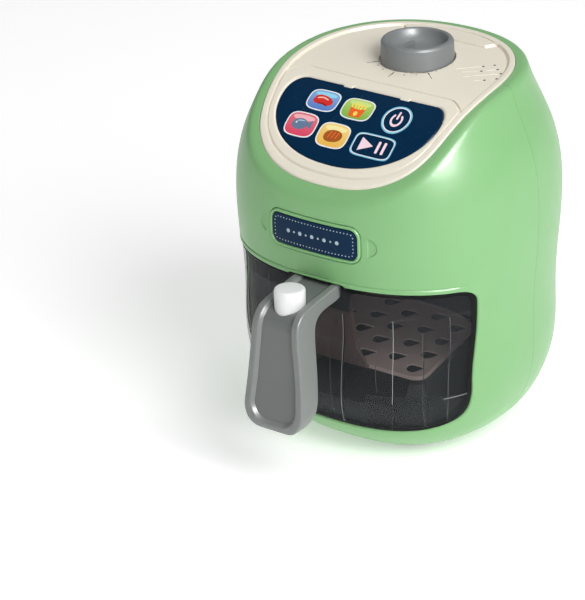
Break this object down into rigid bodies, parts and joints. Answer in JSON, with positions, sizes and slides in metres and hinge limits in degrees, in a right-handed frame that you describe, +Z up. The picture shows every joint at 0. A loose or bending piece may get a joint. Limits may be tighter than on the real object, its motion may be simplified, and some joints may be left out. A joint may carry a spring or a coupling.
{
  "type": "toy air fryer",
  "caption": "Pot-shaped pretend-cooking air fryer with a sloping control deck, turning dial, printed display, and a pull-out drawer with smoked window, handle, release button and lift-out tray.",
  "frame": {"origin": "on the table plane, under the middle of the object's own box at rest (drawer closed)", "axes": "+Z up, -Y the side the drawer opens to, +X to the right of somebody who faces the drawer"},
  "size_m": [0.148, 0.1784, 0.1857],
  "materials": {
    "shell_green": "satin-gloss pastel green moulded plastic",
    "deck_cream": "matt cream moulded plastic",
    "lens_navy": "glossy navy printed panel",
    "dial_grey": "satin grey moulded plastic",
    "handle_grey": "satin dark grey moulded plastic",
    "button_white": "satin white moulded plastic",
    "window_smoke": "clear smoked plastic",
    "pan_charcoal": "matt charcoal plastic",
    "tray_brown": "satin brown-grey plastic",
    "liner_dark": "matt black plastic",
    "foot_rubber": "matt black rubber",
    "inner_plastic": "plain off-white plastic",
    "board_green": "circuit board",
    "steel": "zinc-plated steel",
    "cell_wrap": "wrapped dry cell",
    "speaker_black": "black plastic",
    "lamp_clear": "warm clear lamp"
  },
  "bodies": {
    "housing": {"front_shell": "shell_green", "rear_shell": "shell_green", "base_plate": "shell_green", "badge_frame": "shell_green", "battery_door": "shell_green", "control_deck": "deck_cream", "display_lens": "lens_navy", "badge_plate": "lens_navy", "cavity_liner": "liner_dark", "foot_front_left": "foot_rubber", "foot_front_right": "foot_rubber", "foot_rear_left": "foot_rubber", "foot_rear_right": "foot_rubber", "battery_box": "inner_plastic", "touch_board": "board_green", "main_board": "board_green", "lamp_board": "board_green", "shell_screw_1": "steel", "shell_screw_2": "steel", "shell_screw_3": "steel", "shell_screw_4": "steel", "base_screw_1": "steel", "base_screw_2": "steel", "door_screw": "steel", "contact_plate_low": "steel", "contact_plate_high": "steel", "battery_cell_1": "cell_wrap", "battery_cell_2": "cell_wrap", "battery_cell_3": "cell_wrap", "speaker": "speaker_black", "rotary_switch": "speaker_black", "sound_chip": "speaker_black", "cavity_lamp": "lamp_clear"},
    "drawer": {"drawer_window": "window_smoke", "drawer_pan": "pan_charcoal", "handle_body": "handle_grey", "handle_insert": "handle_grey", "handle_bracket": "pan_charcoal", "handle_screw_1": "steel", "handle_screw_2": "steel", "catch_pin": "steel", "spring_seat": "handle_grey"},
    "button": {"release_button": "button_white", "button_spring": "steel"},
    "catch": {"catch_lever": "inner_plastic"},
    "tray": {"fry_tray": "tray_brown"},
    "dial_body": {"dial": "dial_grey", "dial_spindle": "inner_plastic"}
  },
  "joints": [
    {"name": "drawer_slide", "type": "slide", "parent": "housing", "child": "drawer", "axis": [0, -1, 0], "range_m": [0, 0.105]},
    {"name": "tray_lift", "type": "slide", "parent": "drawer", "child": "tray", "axis": [0, 0, 1], "range_m": [0, 0.02]},
    {"name": "button_press", "type": "slide", "parent": "drawer", "child": "button", "axis": [0, 0, -1], "range_m": [0, 0.002], "stiffness_N_per_m": 300, "deforming": ["button_spring"]},
    {"name": "catch_tilt", "type": "hinge", "parent": "drawer", "child": "catch", "pos_m": [0, -0.06286, 0.0871], "axis": [1, 0, 0], "range_deg": [0, 8.6]},
    {"name": "dial_turn", "type": "hinge", "parent": "housing", "child": "dial_body", "pos_m": [0.0012, 0.02754, 0.17704], "axis": [0, 0, 1], "range_deg": [-49, 61]}
  ],
  "couplings": [
    {"joint": "catch_tilt", "follows": "button_press", "rad_per_m": 74}
  ]
}
